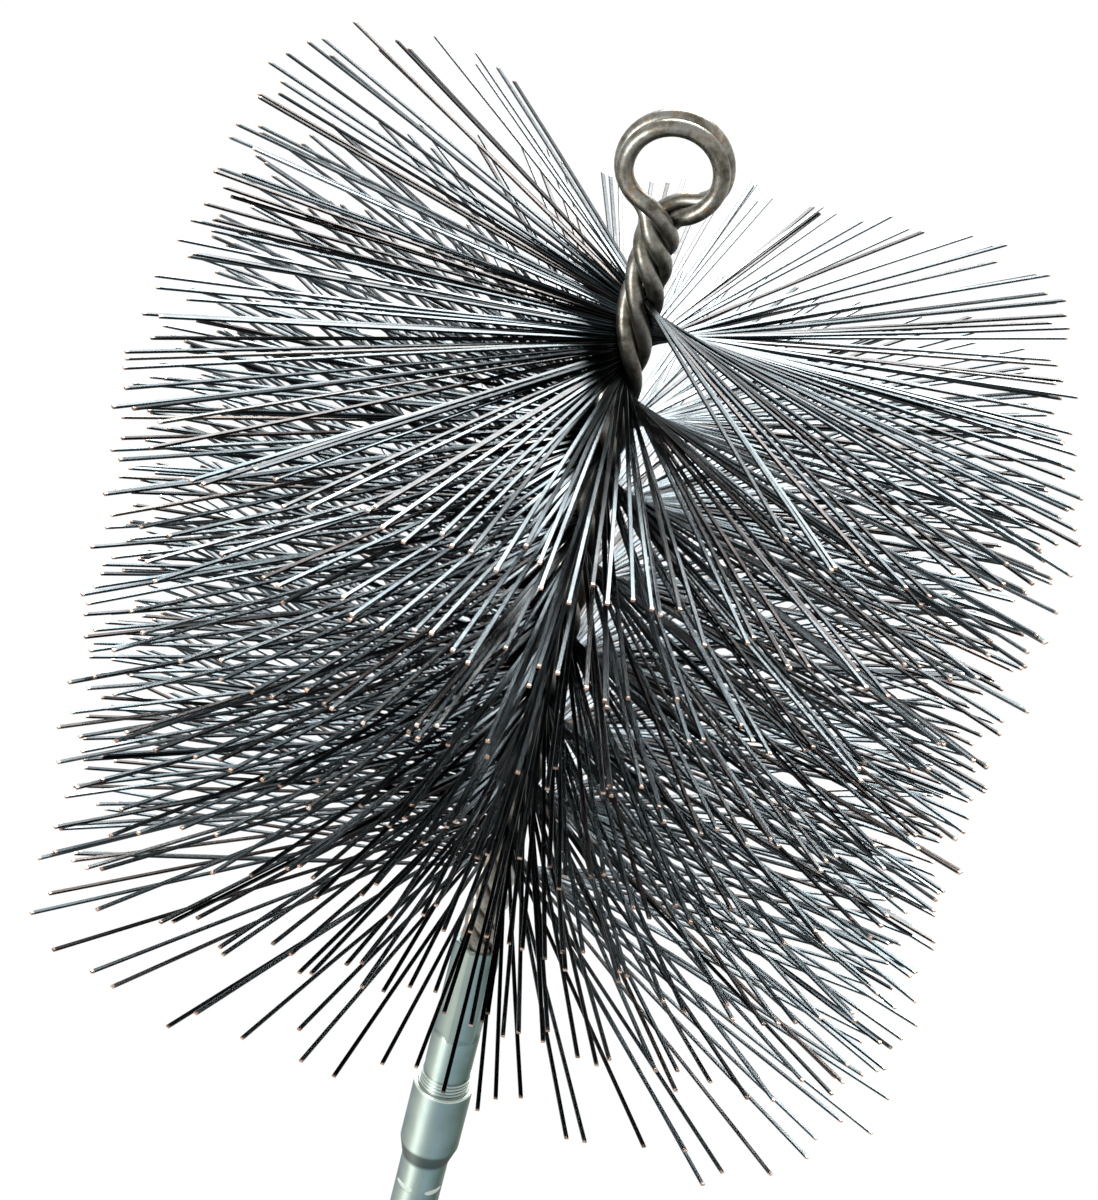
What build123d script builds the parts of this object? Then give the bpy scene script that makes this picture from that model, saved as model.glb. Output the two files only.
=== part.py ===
from build123d import *
import os
from math import atan2, cos, degrees, hypot, radians, sin, sqrt

# A square chimney brush of steel wire on a doubled, twisted wire stem, screwed into
# the end ferrule of a sweep's rod. Millimetres, Z up the stem towards the eye, -Y
# towards whoever faces the eye. The origin is the centre of the mouth of the
# ferrule's rod socket. Azimuths are in degrees from -Y, turning through +X.

quarter_turn = 90.0
half_turn = 180.0
full_turn = 360.0
middle_share = 0.5

# Rod ferrule
rod_bore_d = 11.4
rod_bore_depth = 54.0
ferrule_tube_wall = 2.3
ferrule_tube_length = 53.8
ferrule_taper_length = 7.5
ferrule_head_wall = 1.25
ferrule_head_length = 26.3
ferrule_rim_chamfer = 0.4
ferrule_countersink = 0.5
ferrule_mouth_chamfer = 0.6
crimp_mark_count = 4
crimp_mark_azimuth = -40.0
crimp_mark_depth = 1.1
crimp_mark_below_taper = 10.8
crimp_jaw_d = 2.6

# Pipe thread between the fitting and the ferrule, as rings of the thread's section
thread_crest_d = 17.0
thread_depth = 0.75
thread_pitch = 1.41
thread_clearance = 0.25
inside_ring_count = 6
showing_ring_count = 4
thread_relief = 1.6
thread_well_depth = 9.0
# Along the pitch and up the depth
ring_section_shares = [(0.0, 0.0), (0.35, 1.0), (0.5, 1.0), (0.85, 0.0)]

# Brush fitting, a round body crimped to a hexagon round the stem
fitting_round_d = 15.8
fitting_round_length = 15.7
fitting_across_flats = 14.0
fitting_hex_length = 38.5
fitting_hex_azimuth = 15.0
fitting_run_out = 1.2
fitting_lip_chamfer = 0.3
fitting_tip_chamfer = 0.8
stem_in_fitting = 46.0
stem_clearance = 0.08

# Stem: two wires, each bent double, so four strands in two pairs
wire_d = 4.5
pair_side_room = 0.5
bare_lay = 32.8
bristle_lay = 55.4
bare_quarter_count = 8
neck_turn = 126.0
neck_span_count = 2
first_bristle_azimuth = 22.0

# Eye: the two wires go round it side by side
eye_above_neck = 15.9
ring_gap = 0.2
front_ring_bore_d = 22.1
front_ring_left_angle = 184.0
front_ring_right_angle = -44.0
back_ring_bore_d = 24.1
back_ring_left_angle = 204.0
back_ring_right_angle = -4.0

# Bristles, each caught at its middle between the pairs and trimmed to a square
bunch_count = 15
bunch_bristle_count = 15
bristle_thickness = 0.8
bristle_side_room = 0.37
brush_side = 254.0
brush_corner_d = 328.0
bristle_splay_angle = 1.4
gripped_core_d = 2.4

# One overrun serves every cut
overrun = 1.0

# Diameters of the ferrule round what goes into it
ferrule_tube_d = rod_bore_d + 2 * ferrule_tube_wall
ferrule_head_d = thread_crest_d + 2 * (thread_clearance + ferrule_head_wall)

# Heights of the ferrule and the fitting
taper_end_z = ferrule_tube_length + ferrule_taper_length
ferrule_rim_z = taper_end_z + ferrule_head_length
thread_bottom_z = ferrule_rim_z - inside_ring_count * thread_pitch
thread_top_z = ferrule_rim_z + showing_ring_count * thread_pitch
round_start_z = thread_top_z + thread_relief
hex_start_z = round_start_z + fitting_round_length
fitting_top_z = hex_start_z + fitting_hex_length

# Heights along the stem, a bunch of bristles filling each quarter of the long lay
change_lay = (bare_lay + bristle_lay) / 2
bunch_height = bristle_lay / 4
neck_length = bare_lay * neck_turn / full_turn
stem_bottom_z = fitting_top_z - stem_in_fitting
bristles_bottom_z = stem_bottom_z + (bare_quarter_count * bare_lay + change_lay) / 4
bristles_top_z = bristles_bottom_z + bunch_count * bunch_height
neck_top_z = bristles_top_z + change_lay / 4 + neck_length
eye_z = neck_top_z + eye_above_neck

# Strand centres: beside each other in a pair, and either side of the bristle slot
pair_half = (wire_d + pair_side_room) / 2
slot_half = (wire_d + bristle_thickness) / 2 + bristle_side_room
strand_radius = hypot(pair_half, slot_half)
slot_offset = degrees(atan2(slot_half, pair_half))
even_offset = quarter_turn / 2
stem_bore_d = 2 * strand_radius + wire_d + 2 * stem_clearance


def compass(azimuth, radius, height):
    """The point at an azimuth, a distance from the stem's axis and a height."""
    turn = radians(azimuth)
    return Vector(radius * sin(turn), -radius * cos(turn), height)


def thread_rings(first_z, count, extra):
    """Outline points of rings with the thread's section, from the lowest up."""
    root = thread_crest_d / 2 - thread_depth + extra
    return [
        (root + deep * thread_depth, first_z + (ring + along) * thread_pitch)
        for ring in range(count)
        for along, deep in ring_section_shares
    ]


def stem_stations():
    """Height, azimuth of the slot and strand offset at each span's end, top first."""
    neck_span = (neck_length / neck_span_count, neck_turn / neck_span_count, even_offset)
    spans = neck_span_count * [neck_span]
    spans += [(change_lay / 4, quarter_turn, slot_offset)]
    spans += bunch_count * [(bunch_height, quarter_turn, slot_offset)]
    spans += [(change_lay / 4, quarter_turn, even_offset)]
    spans += bare_quarter_count * [(bare_lay / 4, quarter_turn, even_offset)]
    height = neck_top_z
    azimuth = first_bristle_azimuth - quarter_turn - neck_turn
    stations = [(height, azimuth, even_offset)]
    for drop, turn, offset in spans:
        height -= drop
        azimuth += turn
        stations.append((height, azimuth, offset))
    return stations


def strand(opposite, hand):
    """Points and upward directions of one strand, top first."""
    stations = stem_stations()
    turns = [azimuth + opposite + hand * offset for _, azimuth, offset in stations]
    heights = [height for height, _, _ in stations]
    course = []
    for here in range(len(stations)):
        above, below = max(here - 1, 0), min(here + 1, len(stations) - 1)
        rate = radians(turns[above] - turns[below]) / (heights[above] - heights[below])
        turn = radians(turns[here])
        sway = Vector(cos(turn), sin(turn), 0) * strand_radius * rate
        point = compass(turns[here], strand_radius, heights[here])
        course.append((point, (sway + Vector(0, 0, 1)).normalized()))
    return course


def biarc(start, leaving, end, arriving):
    """Two arcs that leave start and arrive at end along the given directions."""
    chord = end - start
    both = leaving + arriving
    bend = 2 - 2 * leaving.dot(arriving)
    pull = 2 * chord.dot(both)
    reach = (sqrt(pull**2 + 4 * bend * chord.dot(chord)) - pull) / (2 * bend)
    first_corner = start + leaving * reach
    last_corner = end - arriving * reach
    middle = (first_corner + last_corner) / 2
    TangentArc(start, middle, tangent=leaving)
    TangentArc(middle, end, tangent=last_corner - first_corner)


def on_ring(angle, radius, depth):
    """A point of an eye ring, by its angle from +X towards +Z."""
    turn = radians(angle)
    return Vector(radius * cos(turn), depth, eye_z + radius * sin(turn))


def round_ring(angle):
    """The direction of the wire there, from the left over the top to the right."""
    return Vector(sin(radians(angle)), 0, -cos(radians(angle)))


with BuildPart() as rod_ferrule:
    with BuildSketch(Plane.XZ):
        with BuildLine():
            Polyline(
                (0, 0),
                (ferrule_tube_d / 2 - ferrule_mouth_chamfer, 0),
                (ferrule_tube_d / 2, ferrule_mouth_chamfer),
                (ferrule_tube_d / 2, ferrule_tube_length),
                (ferrule_head_d / 2, taper_end_z),
                (ferrule_head_d / 2, ferrule_rim_z - ferrule_rim_chamfer),
                (ferrule_head_d / 2 - ferrule_rim_chamfer, ferrule_rim_z),
                (0, ferrule_rim_z),
                close=True,
            )
        make_face()
    revolve(axis=Axis.Z)
    # Female thread, countersunk at the rim, over a plain well
    groove_root_r = thread_crest_d / 2 - thread_depth + thread_clearance
    groove_crest_r = thread_crest_d / 2 + thread_clearance
    with BuildSketch(Plane.XZ):
        with BuildLine():
            Polyline(
                (0, thread_bottom_z - thread_well_depth),
                (groove_root_r, thread_bottom_z - thread_well_depth),
                *thread_rings(thread_bottom_z, inside_ring_count, thread_clearance)[:-1],
                (groove_crest_r, ferrule_rim_z - ferrule_countersink),
                (groove_crest_r + ferrule_countersink, ferrule_rim_z),
                (groove_crest_r + ferrule_countersink, ferrule_rim_z + overrun),
                (0, ferrule_rim_z + overrun),
                close=True,
            )
        make_face()
    revolve(axis=Axis.Z, mode=Mode.SUBTRACT)
    # Socket for the rod
    with Locations(Plane.XY):
        Cylinder(
            rod_bore_d / 2,
            rod_bore_depth,
            align=(Align.CENTER, Align.CENTER, Align.MIN),
            mode=Mode.SUBTRACT,
        )
    # Dents of the crimping jaws round the tube, level and just under the taper
    crimp_mark_z = ferrule_tube_length - crimp_mark_below_taper
    crimp_jaw_from_axis = ferrule_tube_d / 2 - crimp_mark_depth + crimp_jaw_d / 2
    for mark in range(crimp_mark_count):
        azimuth = crimp_mark_azimuth + mark * full_turn / crimp_mark_count
        jaw = compass(azimuth, crimp_jaw_from_axis, crimp_mark_z)
        with Locations(Plane(origin=jaw, z_dir=compass(azimuth + quarter_turn, 1, 0))):
            Cylinder(crimp_jaw_d / 2, ferrule_tube_d, mode=Mode.SUBTRACT)

with BuildPart() as threaded_fitting:
    thread_root_r = thread_crest_d / 2 - thread_depth
    with BuildSketch(Plane.XZ):
        with BuildLine():
            Polyline(
                (0, thread_bottom_z - fitting_tip_chamfer),
                (thread_root_r - fitting_tip_chamfer, thread_bottom_z - fitting_tip_chamfer),
                *thread_rings(thread_bottom_z, inside_ring_count + showing_ring_count, 0),
                (thread_root_r, round_start_z),
                (fitting_round_d / 2, round_start_z),
                (fitting_round_d / 2, hex_start_z),
                (fitting_across_flats / 2, hex_start_z + fitting_run_out),
                (0, hex_start_z + fitting_run_out),
                close=True,
            )
        make_face()
    revolve(axis=Axis.Z)
    with BuildSketch(Plane.XY.offset(hex_start_z)):
        RegularPolygon(
            fitting_across_flats / 2,
            side_count=6,
            major_radius=False,
            rotation=fitting_hex_azimuth,
        )
    extrude(amount=fitting_hex_length)
    chamfer(
        threaded_fitting.edges().group_by(Axis.Z)[-1],
        length=fitting_lip_chamfer,
    )
    # Bore for the stem, with room under the wires' cut ends
    stem_bore_floor_z = stem_bottom_z - wire_d / 2
    with BuildSketch(Plane.XY.offset(stem_bore_floor_z)):
        Circle(stem_bore_d / 2)
    extrude(amount=fitting_top_z - stem_bore_floor_z + overrun, mode=Mode.SUBTRACT)

# Each wire climbs the stem as one strand, goes round the eye and runs down as another
ring_depth = (wire_d + ring_gap) / 2
front_ring_r = (front_ring_bore_d + wire_d) / 2
back_ring_r = (back_ring_bore_d + wire_d) / 2
front_ring = (front_ring_r, -ring_depth, front_ring_left_angle, front_ring_right_angle)
back_ring = (back_ring_r, ring_depth, back_ring_left_angle, back_ring_right_angle)
stem_wires = []
for name, left_hand, ring in (("stem_wire_front", 1, front_ring), ("stem_wire_back", -1, back_ring)):
    ring_r, depth, left_angle, right_angle = ring
    rising = [(point, up) for point, up in reversed(strand(half_turn, left_hand))]
    falling = [(point, up * -1) for point, up in strand(0, -left_hand)]
    ring_turn = right_angle - left_angle
    with BuildPart() as stem_wire:
        with BuildLine() as route:
            for (start, leaving), (end, arriving) in zip(rising, rising[1:]):
                biarc(start, leaving, end, arriving)
            biarc(*rising[-1], on_ring(left_angle, ring_r, depth), round_ring(left_angle))
            ring_angles = [left_angle + ring_turn * step / 4 for step in range(5)]
            ring_points = [on_ring(angle, ring_r, depth) for angle in ring_angles]
            ThreePointArc(*ring_points[:3])
            ThreePointArc(*ring_points[2:])
            biarc(ring_points[-1], round_ring(right_angle), *falling[0])
            for (start, leaving), (end, arriving) in zip(falling, falling[1:]):
                biarc(start, leaving, end, arriving)
        with BuildSketch(Plane(origin=rising[0][0], z_dir=rising[0][1])):
            Circle(wire_d / 2)
        sweep()
    stem_wire.part.label = name
    stem_wires.append(stem_wire)

# Both ends of each bristle leave the slot, a little upwards at the top of the brush
# and a little downwards at its bottom
bristle_count = bunch_count * bunch_bristle_count
bristle_spacing = bunch_height / bunch_bristle_count
bunches = []
for bunch in range(bunch_count):
    bunch_top_z = bristles_top_z - bunch * bunch_height
    with BuildPart() as bristle_bunch:
        with Locations((0, 0, bunch_top_z - bunch_height / 2)):
            Cylinder(gripped_core_d / 2, bunch_height)
        ends = []
        for place in range(bunch_bristle_count):
            drop = (place + middle_share) * bristle_spacing
            root = Vector(0, 0, bunch_top_z - drop)
            progress = (bunch * bunch_bristle_count + place + middle_share) / bristle_count
            splay = radians(bristle_splay_angle) * (1 - 2 * progress)
            turned = (bristles_top_z - root.Z) * full_turn / bristle_lay
            for side in (0, half_turn):
                azimuth = first_bristle_azimuth + turned + side
                outward = compass(azimuth, 1, 0)
                squareness = max(abs(outward.X), abs(outward.Y))
                reach = min(brush_side / squareness, brush_corner_d) / 2 / cos(splay)
                along = compass(azimuth, cos(splay), sin(splay))
                above = compass(azimuth, -sin(splay), cos(splay))
                end = Box(
                    reach,
                    bristle_thickness,
                    bristle_thickness,
                    align=(Align.MIN, Align.CENTER, Align.CENTER),
                    mode=Mode.PRIVATE,
                )
                ends.append(end.moved(Plane(origin=root, x_dir=along, z_dir=above).location))
        add(ends)
    bristle_bunch.part.label = f"bristle_bunch_{bunch + 1:02d}"
    bunches.append(bristle_bunch)

rod_ferrule.part.label = "rod_ferrule"
threaded_fitting.part.label = "threaded_fitting"

os.makedirs("parts", exist_ok=True)
for piece in [rod_ferrule, threaded_fitting, *stem_wires, *bunches]:
    export_step(piece.part, f"parts/{piece.part.label}.step")
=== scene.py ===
import bmesh
import bpy
import numpy as np
from mathutils import Matrix, Vector


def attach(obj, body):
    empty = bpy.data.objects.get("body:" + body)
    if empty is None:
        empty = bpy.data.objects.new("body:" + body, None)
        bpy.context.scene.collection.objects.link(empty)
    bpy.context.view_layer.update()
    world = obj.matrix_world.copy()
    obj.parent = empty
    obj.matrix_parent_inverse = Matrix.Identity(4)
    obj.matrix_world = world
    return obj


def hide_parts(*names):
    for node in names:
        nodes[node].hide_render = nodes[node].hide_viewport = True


# A square chimney brush of spring steel wire on a twisted, doubled wire stem, with
# the ferrule of a sweep's rod screwed to it. Blender works in metres, in the frame
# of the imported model: Z up the stem, the eye facing -Y. The named sizes below are
# millimetres and the named angles are degrees, unless a comment says otherwise.
# Azimuths count from -Y towards +X.

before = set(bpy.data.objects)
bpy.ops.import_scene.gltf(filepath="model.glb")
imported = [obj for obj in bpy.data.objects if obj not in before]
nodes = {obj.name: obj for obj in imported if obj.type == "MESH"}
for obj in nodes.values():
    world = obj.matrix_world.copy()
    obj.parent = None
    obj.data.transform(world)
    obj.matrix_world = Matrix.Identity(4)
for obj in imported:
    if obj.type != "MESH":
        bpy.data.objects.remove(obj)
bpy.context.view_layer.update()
MM = 0.001


# ---------------------------------------------------------------- materials

def linear(hex_colour):
    """sRGB hex to linear RGBA, by the sRGB curve."""
    share = np.array([int(hex_colour[i:i + 2], 16) for i in (1, 3, 5)]) / 255
    low = share / 12.92
    high = ((share + 0.055) / 1.055) ** 2.4
    return (*np.where(share <= 0.04045, low, high).tolist(), 1.0)


def cells(size):
    """The texture scale that makes one cell of a pattern this many millimetres
    wide: one over the size in metres."""
    return 1 / (size * MM)


def node(owner, kind, inputs=None, stops=(), **settings):
    """Adds a node to a material or world, with its settings, its input values and
    its links. A colour ramp's stops are (place, hex colour)."""
    new = owner.node_tree.nodes.new(kind)
    for name, value in settings.items():
        setattr(new, name, value)
    for name, value in (inputs or {}).items():
        if isinstance(value, bpy.types.NodeSocket):
            owner.node_tree.links.new(value, new.inputs[name])
        else:
            new.inputs[name].default_value = value
    for _ in stops[2:]:
        new.color_ramp.elements.new(0.5)
    for number, (place, colour) in enumerate(stops):
        new.color_ramp.elements[number].position = place
        new.color_ramp.elements[number].color = linear(colour)
    return new


def empty_material(name):
    """A new material without any nodes."""
    material = bpy.data.materials.new(name)
    material.use_nodes = True
    material.node_tree.nodes.clear()
    return material


OIL_FILM = 3.846           # patches of oil and hardening colour along a bristle
BARE_END = 0.3, 1.0        # how far bare metal reaches from a snipped end


def spring_steel_wire():
    """Oil-hardened spring steel wire, drawn: a smooth near-black skin that flares
    to white along each wire's flat top, and bare bright metal where it was snipped.
    Each wire has its own shade. The tint holds the flare back at grazing angles, as
    the oil film does."""
    m = empty_material("oil_hardened_spring_steel_wire")
    shade = node(m, "ShaderNodeAttribute", attribute_name="wire_shade").outputs["Fac"]
    from_tip = node(m, "ShaderNodeAttribute", attribute_name="from_tip").outputs["Fac"]
    skin = node(m, "ShaderNodeValToRGB", {"Fac": shade}, stops=[
        (0.0, "#1C1816"), (0.14, "#191C1D"), (0.4, "#2F3639"), (0.85, "#464C4E"),
        (1.0, "#3A3430")]).outputs["Color"]
    bare = node(m, "ShaderNodeValToRGB", {"Fac": shade}, stops=[
        (0.0, "#6A5C54"), (0.5, "#A88C78"), (1.0, "#CDB5A6")]).outputs["Color"]
    snipped = node(m, "ShaderNodeMapRange", {
        "Value": from_tip, "From Min": BARE_END[0], "From Max": BARE_END[1],
        "To Min": 1.0, "To Max": 0.0}).outputs["Result"]
    colour = node(m, "ShaderNodeMix", {"Factor": snipped, "A": skin, "B": bare},
                  data_type="RGBA").outputs["Result"]
    place = node(m, "ShaderNodeTexCoord").outputs["Object"]
    mottle = node(m, "ShaderNodeTexNoise", {"Vector": place, "Scale": cells(OIL_FILM),
                                            "Detail": 3.0})
    rough = node(m, "ShaderNodeMapRange", {
        "Value": mottle.outputs["Fac"], "From Min": 0.3, "From Max": 0.7,
        "To Min": 0.2, "To Max": 0.26}).outputs["Result"]
    metal = node(m, "ShaderNodeBsdfPrincipled", {
        "Base Color": colour, "Metallic": 1.0, "Roughness": rough,
        "Specular Tint": linear("#E0E0E0")})
    node(m, "ShaderNodeOutputMaterial", {"Surface": metal.outputs["BSDF"]})
    return m


HANDLED_PATCH = 5.882      # patches on the stem wire that handling wore and browned
# The grain that the drawing die leaves is about 0.2 mm, too fine to show here, so
# it is drawn this coarse.
DRAWN_GRAIN = 1.111


def stem_wire_steel():
    """Drawn mild steel wire, bent and handled: dull olive grey with brown where
    handling wore it, and soft long highlights."""
    m = empty_material("drawn_mild_steel_stem_wire")
    place = node(m, "ShaderNodeTexCoord").outputs["Object"]
    patches = node(m, "ShaderNodeTexNoise", {"Vector": place,
                                             "Scale": cells(HANDLED_PATCH),
                                             "Detail": 5.0, "Roughness": 0.65})
    colour = node(m, "ShaderNodeValToRGB", {"Fac": patches.outputs["Fac"]}, stops=[
        (0.32, "#4C4943"), (0.44, "#716D62"), (0.54, "#888A84"), (0.62, "#7E6D59"),
        (0.72, "#A19E94")]).outputs["Color"]
    grain = node(m, "ShaderNodeTexNoise", {"Vector": place, "Scale": cells(DRAWN_GRAIN),
                                           "Detail": 2.0})
    rough = node(m, "ShaderNodeMapRange", {"Value": grain.outputs["Fac"],
                                           "To Min": 0.26, "To Max": 0.46})
    bump = node(m, "ShaderNodeBump", {"Height": grain.outputs["Fac"], "Strength": 0.15,
                                      "Distance": 0.2 * MM})
    metal = node(m, "ShaderNodeBsdfPrincipled", {
        "Base Color": colour, "Metallic": 1.0, "Roughness": rough.outputs["Result"],
        "Normal": bump.outputs["Normal"]})
    node(m, "ShaderNodeOutputMaterial", {"Surface": metal.outputs["BSDF"]})
    return m


TINT_SWAY = 0.8          # radians that the tint, with its painted highlight and shade, wanders round the part
SWAY_LENGTH = 16.67        # distance over which it wanders
# A coarse turning feed leaves rings 0.29 mm apart, each unbroken for about 33 mm.
# They show as a soft grain, not one by one.
TOOL_RING = 0.2857
RING_RUN = 33.33
DULLED_CLOUD = 11.11       # patches dulled by handling
TAPER_SHADE_HEIGHTS = 50.0, 100.0    # the two ends of the ramp that paints shade on the taper
MOUTH_RIM = 86.6, 87.0     # heights over which the painted highlights on crests and rim set in
THREAD_END = 94.5, 95.5    # heights over which they stop again
THREAD_RADII = 8.0, 8.4    # from the thread's grooves to its crests
DENT_RADII = 7.7, 7.9      # from a crimp dent's floor to the tube's skin
DENTS_BELOW = 53.0         # the tube that carries the dents ends here


def turned_zinc():
    """Bright zinc plated steel, turned, with fine tool rings round it. Its colour
    runs in long stripes up the part and follows the angle round the axis, swayed
    by a slow noise: the clear passivation's green and blue tint, with a pale
    painted highlight on the front left and painted shade, dark green, on the
    right. The taper under the head is painted darker grey, as painted shade.
    Thread crests, the ferrule's rim and the crimp dents, picked out by height and
    radius, are painted pale as highlights."""
    m = empty_material("turned_zinc_plated_steel")
    place = node(m, "ShaderNodeTexCoord").outputs["Object"]
    axes = node(m, "ShaderNodeSeparateXYZ", {"Vector": place})
    height = axes.outputs["Z"]
    front = node(m, "ShaderNodeMath", {0: axes.outputs["Y"], 1: -1.0},
                 operation="MULTIPLY")
    turned = node(m, "ShaderNodeMath", {0: axes.outputs["X"], 1: front.outputs[0]},
                  operation="ARCTAN2")
    sway = node(m, "ShaderNodeTexNoise", {"Vector": place, "Scale": cells(SWAY_LENGTH),
                                          "Detail": 3.0})
    swayed = node(m, "ShaderNodeMath", {0: sway.outputs["Fac"], 1: TINT_SWAY,
                                        2: turned.outputs[0]}, operation="MULTIPLY_ADD")
    tint_and_light_place = node(m, "ShaderNodeMapRange", {
        "Value": swayed.outputs[0], "From Min": TINT_SWAY / 2 - np.pi,
        "From Max": TINT_SWAY / 2 + np.pi})
    # Painted light: this ramp puts a pale painted highlight on the front left and painted
    # shade, dark green, on the right, between the passivation's green and blue tints.
    tint = node(m, "ShaderNodeValToRGB", {"Fac": tint_and_light_place.outputs["Result"]}, stops=[
        (0.0, "#6E7E7C"), (0.28, "#6A7B7E"), (0.42, "#B0BCB1"), (0.54, "#86A0A4"),
        (0.66, "#4C6056"), (0.8, "#7C8B84"), (1.0, "#6E7E7C")])
    band = node(m, "ShaderNodeMapRange", {
        "Value": height, "From Min": TAPER_SHADE_HEIGHTS[0] * MM,
        "From Max": TAPER_SHADE_HEIGHTS[1] * MM})
    # Painted shade: this ramp darkens the taper under the head to grey.
    painted_shade_on_taper = node(m, "ShaderNodeValToRGB", {"Fac": band.outputs["Result"]}, stops=[
        (0.0, "#FFFFFF"), (0.07, "#FFFFFF"), (0.11, "#8C8C8C"), (0.21, "#969696"),
        (0.24, "#FFFFFF"), (0.7, "#FFFFFF")])
    plated = node(m, "ShaderNodeMix", {
        "Factor": 1.0, "A": tint.outputs["Color"], "B": painted_shade_on_taper.outputs["Color"]},
        data_type="RGBA", blend_type="MULTIPLY")

    above_rim = node(m, "ShaderNodeMapRange", {
        "Value": height, "From Min": MOUTH_RIM[0] * MM, "From Max": MOUTH_RIM[1] * MM})
    below_end = node(m, "ShaderNodeMapRange", {
        "Value": height, "From Min": THREAD_END[0] * MM, "From Max": THREAD_END[1] * MM,
        "To Min": 1.0, "To Max": 0.0})
    threaded = node(m, "ShaderNodeMath", {0: above_rim.outputs["Result"],
                                          1: below_end.outputs["Result"]},
                    operation="MULTIPLY")
    flat = node(m, "ShaderNodeVectorMath", {0: place, 1: (1.0, 1.0, 0.0)},
                operation="MULTIPLY")
    radius = node(m, "ShaderNodeVectorMath", {0: flat.outputs["Vector"]},
                  operation="LENGTH").outputs["Value"]
    crest = node(m, "ShaderNodeMapRange", {
        "Value": radius, "From Min": THREAD_RADII[0] * MM,
        "From Max": THREAD_RADII[1] * MM, "To Min": 0.0, "To Max": 0.8})
    crests = node(m, "ShaderNodeMath", {0: threaded.outputs[0],
                                        1: crest.outputs["Result"]},
                  operation="MULTIPLY")
    sunk = node(m, "ShaderNodeMapRange", {
        "Value": radius, "From Min": DENT_RADII[0] * MM, "From Max": DENT_RADII[1] * MM,
        "To Min": 0.8, "To Max": 0.0})
    tube = node(m, "ShaderNodeMath", {0: height, 1: DENTS_BELOW * MM},
                operation="LESS_THAN")
    dents = node(m, "ShaderNodeMath", {0: sunk.outputs["Result"], 1: tube.outputs[0]},
                 operation="MULTIPLY")
    painted_glints = node(m, "ShaderNodeMath", {0: crests.outputs[0], 1: dents.outputs[0]},
                  operation="MAXIMUM")
    # Painted highlights: crests, rim and dents are mixed towards a pale green-white.
    colour = node(m, "ShaderNodeMix", {
        "Factor": painted_glints.outputs[0], "A": plated.outputs["Result"],
        "B": linear("#DDE8DF")}, data_type="RGBA").outputs["Result"]

    cloud = node(m, "ShaderNodeTexNoise", {"Vector": place, "Scale": cells(DULLED_CLOUD),
                                           "Detail": 4.0})
    rough = node(m, "ShaderNodeMapRange", {"Value": cloud.outputs["Fac"],
                                           "To Min": 0.4, "To Max": 0.6})
    rings = node(m, "ShaderNodeMapping", {
        "Vector": place, "Scale": (cells(RING_RUN), cells(RING_RUN), cells(TOOL_RING))})
    lathe = node(m, "ShaderNodeTexNoise", {"Vector": rings.outputs["Vector"],
                                           "Scale": 1.0, "Detail": 3.0})
    bump = node(m, "ShaderNodeBump", {"Height": lathe.outputs["Fac"], "Strength": 0.35,
                                      "Distance": 0.1 * MM})
    round_axis = node(m, "ShaderNodeTangent", direction_type="RADIAL", axis="Z")
    metal = node(m, "ShaderNodeBsdfPrincipled", {
        "Base Color": colour, "Metallic": 1.0, "Roughness": rough.outputs["Result"],
        "Anisotropic": 0.8, "Anisotropic Rotation": 0.25,
        "Tangent": round_axis.outputs["Tangent"], "Normal": bump.outputs["Normal"]})
    node(m, "ShaderNodeOutputMaterial", {"Surface": metal.outputs["BSDF"]})
    return m


WIRE = spring_steel_wire()
STEM = stem_wire_steel()
ZINC = turned_zinc()

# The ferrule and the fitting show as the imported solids. The stem wires and bristles
# get fuller pieces below.
for name, obj in nodes.items():
    obj.data.materials.clear()
    if name.startswith("stem_wire"):
        obj.data.materials.append(STEM)
    elif not name.startswith("bristle"):
        obj.data.materials.append(ZINC)


# ---------------------------------------------------------------- bristles

BRISTLES_TOP = 387.415     # height of the highest bristle's root
LAY = 55.4                 # height in which the stem makes one turn
BUNCHES = 15               # quarter turns of the stem, from the top down
FIRST_AZIMUTH = 22.0
BRUSH_SIDE = 254.0
BRUSH_CORNER = 328.0       # across the square's trimmed corners
WORN_CORNER = 304.0        # the same, at the worn corner in front on the right
SPLAY_TOP, SPLAY_BOTTOM = 1.5, -1.3    # how far bristles point up at top and bottom
AZIMUTH_SCATTER = 1.0
RISE_SCATTER = 0.9

BRISTLES_PER_BUNCH = 39
SPARSE_BUNCHES = 2         # the lowest bunches, which have fewer bristles
SPARSE_BUNCH_BRISTLES = 22
FIRST_SEED = 1900          # each bunch's chance has its own seed, counted from here
STAGGER = 0.45             # roots take turns to either side of the axis by this
SHORT_PAIR = 5.5           # every other pair of bristles is shorter by this
MEAN_TRIM, TRIM_SCATTER, LONGEST_TRIM = -0.5, 1.6, 1.5
BOW_SCATTER = 1.0          # how far a tip springs sideways and up or down

BRISTLE_WIDTH = 1.2
BRISTLE_THICKNESS = 0.72
BRISTLE_EDGE = 0.14        # the flat wire's bevelled edges
ROLL_SCATTER = 2.4         # chance turn of a flat wire about its own length
LEAN = 6.0                 # turn that all flat wires near one azimuth share
LEAN_AZIMUTH = 42.0
LEAN_FOCUS = 5             # power of the cosine that fades it away from there

STEPS = np.array([0.0, 0.33, 0.66, 1.0])    # rings of a bristle, from root to tip

across = BRISTLE_WIDTH / 2
deep = BRISTLE_THICKNESS / 2
SECTION = np.array([(across, -deep + BRISTLE_EDGE), (across, deep - BRISTLE_EDGE),
                    (across - BRISTLE_EDGE, deep), (BRISTLE_EDGE - across, deep),
                    (-across, deep - BRISTLE_EDGE), (-across, BRISTLE_EDGE - deep),
                    (BRISTLE_EDGE - across, -deep), (across - BRISTLE_EDGE, -deep)])


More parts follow.
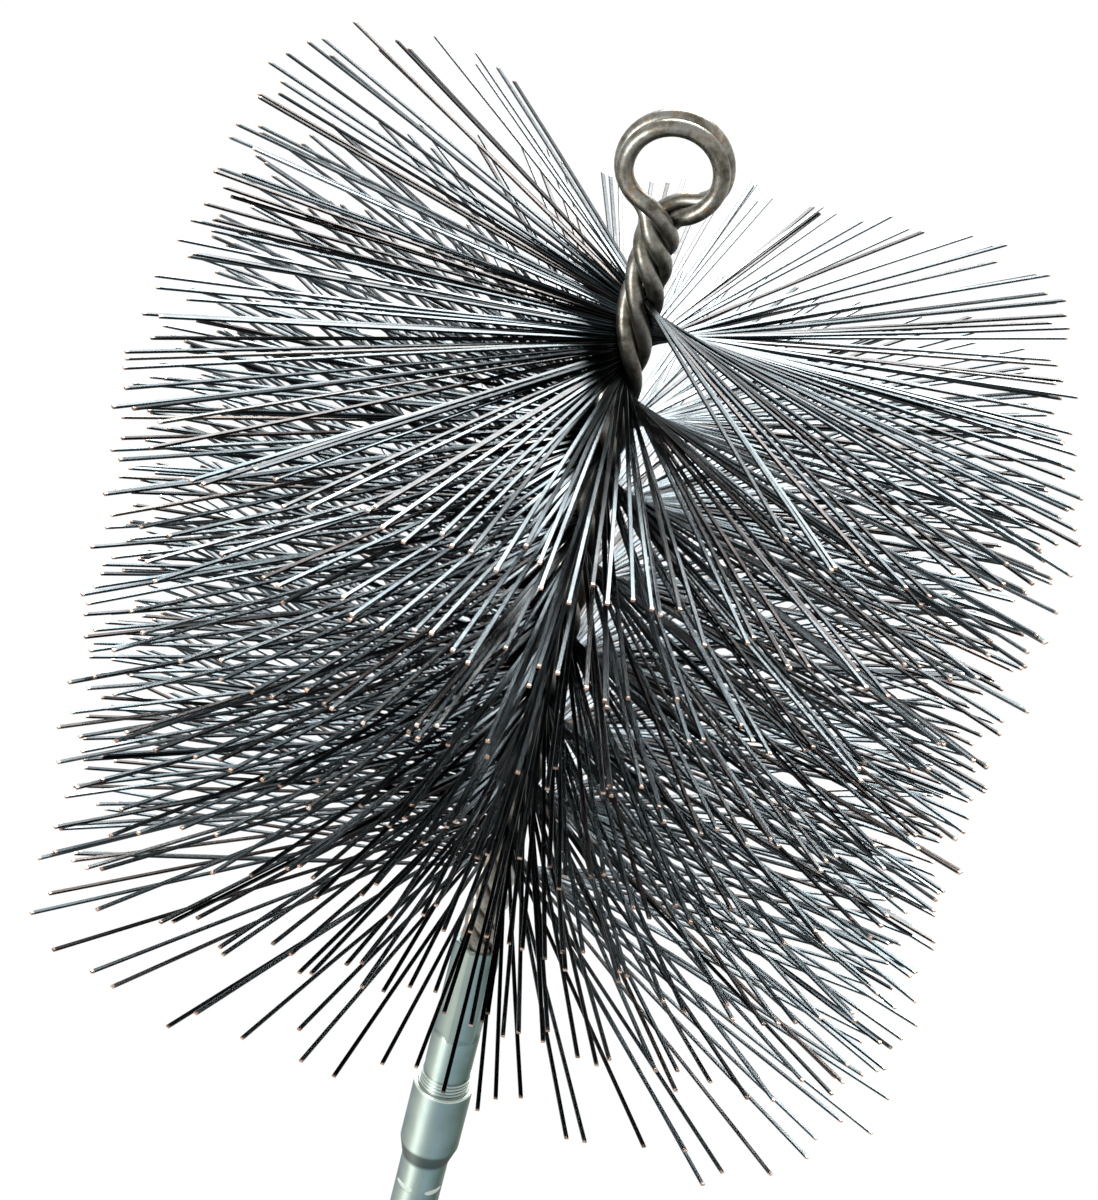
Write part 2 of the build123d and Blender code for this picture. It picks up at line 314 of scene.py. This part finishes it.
def bristles_mesh(name, points):
    """Wires from an array of points (wires, rings, corners, 3): quads join each
    ring to the next, and a fan of triangles closes both ends of every wire round
    the middle of its last ring."""
    wires, rings, corners, _ = points.shape
    index = np.arange(wires * rings * corners).reshape(wires, rings, corners)
    here, up = index[:, :-1], index[:, 1:]
    quads = np.stack([here, np.roll(here, -1, 2), np.roll(up, -1, 2), up], -1)
    centres = points[:, [0, -1]].mean(2)
    low = index.size + 2 * np.arange(wires)[:, None] + np.zeros(corners, int)
    high = low + 1
    start, end = index[:, 0], index[:, -1]
    caps = np.concatenate([
        np.stack([low, np.roll(start, -1, 1), start], -1).reshape(-1, 3),
        np.stack([high, end, np.roll(end, -1, 1)], -1).reshape(-1, 3)])
    verts = np.concatenate([points.reshape(-1, 3), centres.reshape(-1, 3)])
    mesh = bpy.data.meshes.new(name)
    mesh.from_pydata(verts, [], quads.reshape(-1, 4).tolist() + caps.tolist())
    mesh.update()
    return mesh


def add_piece(name, mesh, material, body, replaced):
    """Shows a mesh as a piece that rides on a body in the place of CAD nodes."""
    piece = bpy.data.objects.new(name, mesh)
    bpy.context.scene.collection.objects.link(piece)
    piece.data.materials.append(material)
    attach(piece, body)
    for cad_node in replaced:
        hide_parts(cad_node)


def bristle_bunch(bunch):
    """One quarter turn's flat wires, each held at its middle and shown as two ends.
    Roots go down the stem evenly and azimuths grow with them at the stem's lay. An
    end reaches the brush's square outline, or its trimmed corner, less its trim. It
    points up or down by its splay and chance, and bows by the square of its way
    out. Its section is turned by a shared lean, which follows a power of the cosine
    of its azimuth, and by chance."""
    chance = np.random.default_rng(FIRST_SEED + bunch)
    sparse = bunch >= BUNCHES - SPARSE_BUNCHES
    count = SPARSE_BUNCH_BRISTLES if sparse else BRISTLES_PER_BUNCH
    number = np.arange(count)
    drop = bunch + (number + 0.5) / count
    root_z = BRISTLES_TOP - drop * LAY / 4
    splay = SPLAY_TOP + (SPLAY_BOTTOM - SPLAY_TOP) * drop / BUNCHES
    turned = FIRST_AZIMUTH + (BRISTLES_TOP - root_z) * 360 / LAY
    azimuth = np.radians(np.stack([turned, turned + 180], 1)
                         + chance.normal(0, AZIMUTH_SCATTER, (count, 2)))
    rise = np.radians(splay[:, None] + chance.normal(0, RISE_SCATTER, (count, 2)))

    out = np.stack([np.sin(azimuth), -np.cos(azimuth)], -1)
    worn = (out[..., 0] > 0) & (out[..., 1] < 0)
    reach = np.minimum(BRUSH_SIDE / np.abs(out).max(-1),
                       np.where(worn, WORN_CORNER, BRUSH_CORNER)) / 2
    short = np.where((number // 2) % 2 == 0, 0.0, SHORT_PAIR)[:, None]
    trim = chance.normal(MEAN_TRIM, TRIM_SCATTER, (count, 2)) - short
    length = (reach + np.minimum(trim, LONGEST_TRIM)) / np.cos(rise)

    along = np.concatenate([out * np.cos(rise)[..., None], np.sin(rise)[..., None]], -1)
    side = np.stack([-out[..., 1], out[..., 0], np.zeros_like(rise)], -1)
    above = np.cross(along, side)
    root = side * ((number % 3 - 1) * STAGGER)[:, None, None]
    root[..., 2] += root_z[:, None]
    bow = chance.normal(0, BOW_SCATTER, (count, 2, 2))
    line = root[:, :, None] + along[:, :, None] * (length[..., None] * STEPS)[..., None]
    line = line + side[:, :, None] * (bow[..., :1] * STEPS ** 2)[..., None]
    line = line + above[:, :, None] * (bow[..., 1:] * STEPS ** 2)[..., None]

    lean = LEAN * np.cos(np.radians(turned - LEAN_AZIMUTH)) ** LEAN_FOCUS
    lean = lean + chance.normal(0, ROLL_SCATTER, count)
    roll = np.radians(np.stack([-lean, lean], 1))[..., None]
    flat = side * np.cos(roll) + above * np.sin(roll)
    up = above * np.cos(roll) - side * np.sin(roll)
    spoke = flat[:, :, None, None] * SECTION[:, :1] + up[:, :, None, None] * SECTION[:, 1:]
    wires, rings, corners = count * 2, len(STEPS), len(SECTION)
    points = (line[:, :, :, None] + spoke).reshape(wires, rings, corners, 3) * MM
    mesh = bristles_mesh(f"bristles_{bunch + 1:02d}", points)

    # Each point knows its way to the tip in millimetres, and its wire's own shade.
    # The two points in the middle of a wire's ends come last in the mesh.
    shade = chance.random(wires)
    to_tip = (length[..., None] * (1 - STEPS)).reshape(wires, rings)
    ends = np.stack([to_tip[:, 0], np.zeros(wires)], 1)
    from_tip = np.concatenate([np.repeat(to_tip.reshape(-1), corners), ends.reshape(-1)])
    wire_shade = np.concatenate([np.repeat(shade, rings * corners), np.repeat(shade, 2)])
    for name, values in (("from_tip", from_tip), ("wire_shade", wire_shade)):
        attribute = mesh.attributes.new(name, "FLOAT", "POINT")
        attribute.data.foreach_set("value", values.astype(np.float32))
    add_piece(f"wire_bristles_{bunch + 1:02d}", mesh, WIRE, "brush_head",
              [f"bristle_bunch_{bunch + 1:02d}"])


for bunch in range(BUNCHES):
    bristle_bunch(bunch)


# ---------------------------------------------------------------- stem wires

STEM_GROWTH = 0.2          # how far the shown wire stands out from the solid's
MERGE_DISTANCE = 0.001     # for the corners that the solid's loose triangles share
SHARP_EDGE = 0.7           # radians, past which an edge stays sharp


def full_stem_wire(side):
    """The solid's own wire, a little fuller as in the picture: every point moves
    outwards along the surface's normal by the same small distance."""
    mesh = nodes[f"stem_wire_{side}"].data.copy()
    merged = bmesh.new()
    merged.from_mesh(mesh)
    bmesh.ops.remove_doubles(merged, verts=merged.verts, dist=MERGE_DISTANCE * MM)
    merged.to_mesh(mesh)
    merged.free()
    places = np.zeros(len(mesh.vertices) * 3, np.float32)
    normals = np.zeros(len(mesh.vertices) * 3, np.float32)
    mesh.vertices.foreach_get("co", places)
    mesh.vertex_normals.foreach_get("vector", normals)
    mesh.vertices.foreach_set("co", places + normals * STEM_GROWTH * MM)
    mesh.polygons.foreach_set("use_smooth", np.ones(len(mesh.polygons), bool))
    mesh.set_sharp_from_angle(angle=SHARP_EDGE)
    mesh.materials.clear()
    mesh.update()
    add_piece(f"twisted_wire_{side}", mesh, STEM, "brush_head",
              [f"stem_wire_{side}"])


for side in ("front", "back"):
    full_stem_wire(side)


# ---------------------------------------------------------------- stage and light

FLOOR_HALF = 6.0           # metres from the middle of the floor to its edge
SEEN_WHITE = 0.93          # share of plain white that the camera sees in the paper
MIRRORED_WHITE = 0.3       # the share that metal mirrors
SKY_ON_MATT = 0.1          # strength of the sky on matt surfaces; 1 is white


def stage_white():
    """Matt white paper that the camera and reflections see as white, with a share
    of plain diffuse so that the object's shadow stays on it."""
    m = empty_material("white_paper_stage")
    glow = node(m, "ShaderNodeEmission", {"Color": linear("#FFFFFF"), "Strength": 1.0})
    paper = node(m, "ShaderNodeBsdfDiffuse", {"Color": linear("#F4F4F4")})
    ray = node(m, "ShaderNodeLightPath")
    reflected = node(m, "ShaderNodeMath", {0: ray.outputs["Is Glossy Ray"],
                                           1: ray.outputs["Is Transmission Ray"]},
                     operation="MAXIMUM")
    mirrored = node(m, "ShaderNodeMath", {0: reflected.outputs[0], 1: MIRRORED_WHITE},
                    operation="MULTIPLY")
    seen = node(m, "ShaderNodeMath", {0: ray.outputs["Is Camera Ray"], 1: SEEN_WHITE},
                operation="MULTIPLY")
    share = node(m, "ShaderNodeMath", {0: seen.outputs[0], 1: mirrored.outputs[0]},
                 operation="MAXIMUM")
    mix = node(m, "ShaderNodeMixShader", {"Fac": share.outputs[0], 1: paper.outputs[0],
                                          2: glow.outputs[0]})
    node(m, "ShaderNodeOutputMaterial", {"Surface": mix.outputs[0]})
    return m


floor_mesh = bpy.data.meshes.new("floor")
floor_mesh.from_pydata([(-FLOOR_HALF, -FLOOR_HALF, 0), (FLOOR_HALF, -FLOOR_HALF, 0),
                        (FLOOR_HALF, FLOOR_HALF, 0), (-FLOOR_HALF, FLOOR_HALF, 0)],
                       [], [(0, 1, 2, 3)])
floor = bpy.data.objects.new("floor", floor_mesh)
floor.data.materials.append(stage_white())
bpy.context.scene.collection.objects.link(floor)


def white_studio():
    """A sky that the camera, metal and glass see as white, and that lights matt
    surfaces only a little."""
    world = bpy.data.worlds.new("white_studio")
    world.use_nodes = True
    world.node_tree.nodes.clear()
    ray = node(world, "ShaderNodeLightPath")
    direct = node(world, "ShaderNodeMath", {0: ray.outputs["Is Camera Ray"],
                                            1: ray.outputs["Is Glossy Ray"]},
                  operation="MAXIMUM")
    seen = node(world, "ShaderNodeMath", {0: direct.outputs[0],
                                          1: ray.outputs["Is Transmission Ray"]},
                operation="MAXIMUM")
    strength = node(world, "ShaderNodeMapRange", {"Value": seen.outputs[0],
                                                  "To Min": SKY_ON_MATT, "To Max": 1.0})
    sky = node(world, "ShaderNodeBackground", {"Color": linear("#FFFFFF"),
                                               "Strength": strength.outputs["Result"]})
    node(world, "ShaderNodeOutputWorld", {"Surface": sky.outputs[0]})
    return world


bpy.context.scene.world = white_studio()


def softbox(name, place, target, size, watts):
    """A rectangular area lamp at a place, facing a target. Places and sizes are
    metres."""
    lamp = bpy.data.lights.new(name, "AREA")
    lamp.shape = "RECTANGLE"
    lamp.size, lamp.size_y = size
    lamp.energy = watts
    obj = bpy.data.objects.new(name, lamp)
    obj.location = place
    facing = Vector(target) - Vector(place)
    obj.rotation_euler = facing.to_track_quat("-Z", "Y").to_euler()
    bpy.context.scene.collection.objects.link(obj)


# The wide, low lamp behind the brush lights a level matt card at about the plain
# level of 1, and the flat wires mirror it to the camera. The small one in front only
# lifts the ferrule.
softbox("back_light", place=(-0.1, 3.5, 2.5), target=(0, 0, 0.32), size=(2.8, 0.72),
        watts=310)
softbox("key_light", place=(-0.75, -0.85, 0.45), target=(0, -0.05, 0.1),
        size=(0.35, 0.5), watts=12)


# ---------------------------------------------------------------- camera

# Fitted to the picture's viewing angle: the lens, its place in metres, and the
# directions in which the picture's right, down and forward point.
LENS = 98.361
SENSOR_WIDTH = 36.0
FARTHEST_SEEN = 50.0       # metres
CAMERA_PLACE = (0, -0.756350, 0.760127)
PICTURE_RIGHT = Vector((0.96959098, 0.13521722, 0.20398441))
PICTURE_DOWN = Vector((0.2446731, -0.51743263, -0.81999911))
PICTURE_FORWARD = Vector((-0.00532981, 0.84497324, -0.53478203))

camera_data = bpy.data.cameras.new("camera")
camera_data.lens = LENS
camera_data.sensor_width = SENSOR_WIDTH
camera_data.sensor_fit = "HORIZONTAL"
camera_data.clip_end = FARTHEST_SEEN
camera = bpy.data.objects.new("camera", camera_data)
turn = Matrix((PICTURE_RIGHT, -PICTURE_DOWN, -PICTURE_FORWARD)).transposed()
camera.matrix_world = Matrix.Translation(CAMERA_PLACE) @ turn.to_4x4()
bpy.context.scene.collection.objects.link(camera)
bpy.context.scene.camera = camera

bpy.context.scene.view_settings.view_transform = "Standard"
